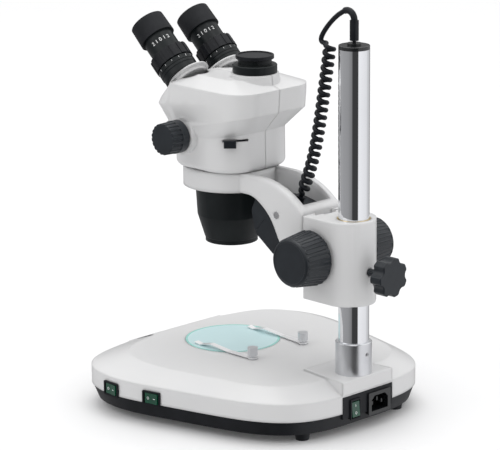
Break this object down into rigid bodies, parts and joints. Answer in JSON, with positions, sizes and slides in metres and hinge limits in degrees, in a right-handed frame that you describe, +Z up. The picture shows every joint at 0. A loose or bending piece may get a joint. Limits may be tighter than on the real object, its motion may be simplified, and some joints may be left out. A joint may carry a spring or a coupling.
{
  "type": "stereo microscope",
  "caption": "Stereo zoom microscope on a pillar stand with a lit base, rack focus, tilted binocular eyepieces, a camera port and a spot lamp on a coiled lead.",
  "frame": {"origin": "On the table, under the middle of the whole stand (bounding box bottom centre, without the lamp's cord).", "axes": "+Z up; the user sits on the -Y side and looks towards +Y; +X is the user's right."},
  "size_m": [0.3188, 0.34, 0.4384],
  "materials": {
    "white_paint": "gloss",
    "black_plastic": "satin",
    "gloss_black": "gloss",
    "black_rubber": "matte",
    "cord_rubber": "satin",
    "chrome": "polished",
    "steel": "brushed",
    "aluminium": "satin",
    "black_metal": "satin",
    "brass": "satin",
    "frosted_glass": "frosted",
    "lens_glass": "clear",
    "green_rocker": "gloss",
    "board_green": "satin"
  },
  "bodies": {
    "stand": {"base_shell": "white_paint", "base_pan": "black_plastic", "rubber_feet": "black_rubber", "foot_screws": "steel", "rocker_bezels": "black_plastic", "mains_inlet": "gloss_black", "power_board": "board_green", "light_cup": "aluminium", "led_board": "board_green", "stage_plate": "frosted_glass", "clip_posts": "black_plastic", "pillar_tube": "chrome", "pillar_bolt": "steel", "pillar_cap": "gloss_black", "cord_jack": "gloss_black", "pillar_collar": "aluminium", "collar_screw": "steel", "cord_plug": "cord_rubber", "cord_lead": "cord_rubber", "cord_coil_upper": "cord_rubber"},
    "mains_switch": {"mains_rocker": "green_rocker"},
    "front_light_switch": {"front_light_rocker": "green_rocker"},
    "rear_light_switch": {"rear_light_rocker": "green_rocker"},
    "left_clip": {"stage_clip_left": "chrome"},
    "right_clip": {"stage_clip_right": "chrome"},
    "pillar_slider": {"pillar_bush": "brass"},
    "block": {"focus_block": "white_paint", "shaft_bushes": "brass", "cord_coil_middle": "cord_rubber"},
    "clamp_knob": {"star_knob": "black_plastic"},
    "focus_drive": {"pinion_shaft": "steel", "focus_knobs": "black_plastic"},
    "arm": {"head_holder": "white_paint", "dovetail_slide": "aluminium", "focus_rack": "brass", "lamp_housing": "black_plastic", "lamp_lens": "lens_glass", "lamp_led": "aluminium", "lamp_screws": "steel", "cord_coil_lower": "cord_rubber", "lamp_plug": "cord_rubber"},
    "head": {"head_shell_left": "white_paint", "head_shell_right": "white_paint", "head_frame": "aluminium", "objective_barrel": "black_metal", "objective_lens": "lens_glass", "head_optics": "aluminium", "port_collar": "black_metal"},
    "zoom_drive": {"zoom_shaft": "steel", "zoom_knobs": "black_plastic"},
    "path_switch": {"path_lever": "black_plastic"},
    "port_cover": {"port_cap": "black_plastic"},
    "left_turret": {"eye_turret_left": "black_metal"},
    "right_turret": {"eye_turret_right": "black_metal"},
    "left_diopter": {"diopter_ring_left": "black_plastic"},
    "right_diopter": {"diopter_ring_right": "black_plastic"},
    "left_eyepiece": {"eyepiece_left": "black_metal", "eyecup_left": "black_rubber"},
    "right_eyepiece": {"eyepiece_right": "black_metal", "eyecup_right": "black_rubber"}
  },
  "joints": [
    {"name": "mains_rocker_tilt", "type": "hinge", "parent": "stand", "child": "mains_switch", "pos_m": [0.019, 0.12975, 0.026], "axis": [1, 0, 0], "range_deg": [-14, 0]},
    {"name": "front_light_rocker_tilt", "type": "hinge", "parent": "stand", "child": "front_light_switch", "pos_m": [0.14645, -0.03291, 0.0305], "axis": [0, 0, -1], "range_deg": [-14, 0]},
    {"name": "rear_light_rocker_tilt", "type": "hinge", "parent": "stand", "child": "rear_light_switch", "pos_m": [0.15409, -0.08532, 0.0305], "axis": [0, 0, -1], "range_deg": [-14, 0]},
    {"name": "left_clip_swing", "type": "hinge", "parent": "stand", "child": "left_clip", "pos_m": [-0.038, 0.00375, 0.057], "axis": [0, 0, 1], "range_deg": [-60, 22]},
    {"name": "right_clip_swing", "type": "hinge", "parent": "stand", "child": "right_clip", "pos_m": [0.038, 0.00375, 0.057], "axis": [0, 0, 1], "range_deg": [-22, 60]},
    {"name": "pillar_slide", "type": "slide", "parent": "stand", "child": "pillar_slider", "axis": [0, 0, 1], "range_m": [-0.035, 0.05], "deforming": ["cord_coil_upper"]},
    {"name": "pillar_swing", "type": "hinge", "parent": "pillar_slider", "child": "block", "pos_m": [0, 0.11375, 0.177], "axis": [0, 0, 1], "range_deg": [-40, 40]},
    {"name": "clamp_turn", "type": "hinge", "parent": "block", "child": "clamp_knob", "pos_m": [0, 0.15375, 0.1685], "axis": [0, 1, 0], "range_deg": [-150, 150]},
    {"name": "focus_slide", "type": "slide", "parent": "block", "child": "arm", "axis": [0, 0, 1], "range_m": [-0.025, 0.025], "deforming": ["cord_coil_lower"]},
    {"name": "focus_turn", "type": "hinge", "parent": "block", "child": "focus_drive", "pos_m": [0, 0.08575, 0.181], "axis": [1, 0, 0], "range_deg": [-225, 225]},
    {"name": "head_turn", "type": "hinge", "parent": "arm", "child": "head", "pos_m": [0, -0.06525, 0.24], "axis": [0, 0, 1], "range_deg": [-90, 90]},
    {"name": "zoom_turn", "type": "hinge", "parent": "head", "child": "zoom_drive", "pos_m": [0, -0.08125, 0.287], "axis": [1, 0, 0], "range_deg": [-150, 150]},
    {"name": "path_lever_swing", "type": "hinge", "parent": "head", "child": "path_switch", "pos_m": [0, -0.06525, 0.287], "axis": [0, 0, 1], "range_deg": [0, 14]},
    {"name": "port_cap_lift", "type": "slide", "parent": "head", "child": "port_cover", "axis": [0, 0, 1], "range_m": [0, 0.02]},
    {"name": "right_turret_turn", "type": "hinge", "parent": "head", "child": "right_turret", "pos_m": [0.026, -0.10167, 0.34267], "axis": [0, -0.7314, 0.682], "range_deg": [0, 75]},
    {"name": "left_turret_turn", "type": "hinge", "parent": "head", "child": "left_turret", "pos_m": [-0.026, -0.10167, 0.34267], "axis": [0, -0.7314, 0.682], "range_deg": [-75, 0]},
    {"name": "left_diopter_turn", "type": "hinge", "parent": "left_turret", "child": "left_diopter", "pos_m": [-0.033, -0.12068, 0.3604], "axis": [0, -0.7314, 0.682], "range_deg": [-150, 150]},
    {"name": "left_eyepiece_pull", "type": "slide", "parent": "left_turret", "child": "left_eyepiece", "axis": [0, -0.7314, 0.682], "range_m": [0, 0.025]},
    {"name": "right_diopter_turn", "type": "hinge", "parent": "right_turret", "child": "right_diopter", "pos_m": [0.033, -0.12068, 0.3604], "axis": [0, -0.7314, 0.682], "range_deg": [-150, 150]},
    {"name": "right_eyepiece_pull", "type": "slide", "parent": "right_turret", "child": "right_eyepiece", "axis": [0, -0.7314, 0.682], "range_m": [0, 0.025]}
  ],
  "couplings": [
    {"joint": "focus_turn", "follows": "focus_slide", "rad_per_m": -156.25},
    {"joint": "left_turret_turn", "follows": "right_turret_turn", "ratio": -1}
  ]
}
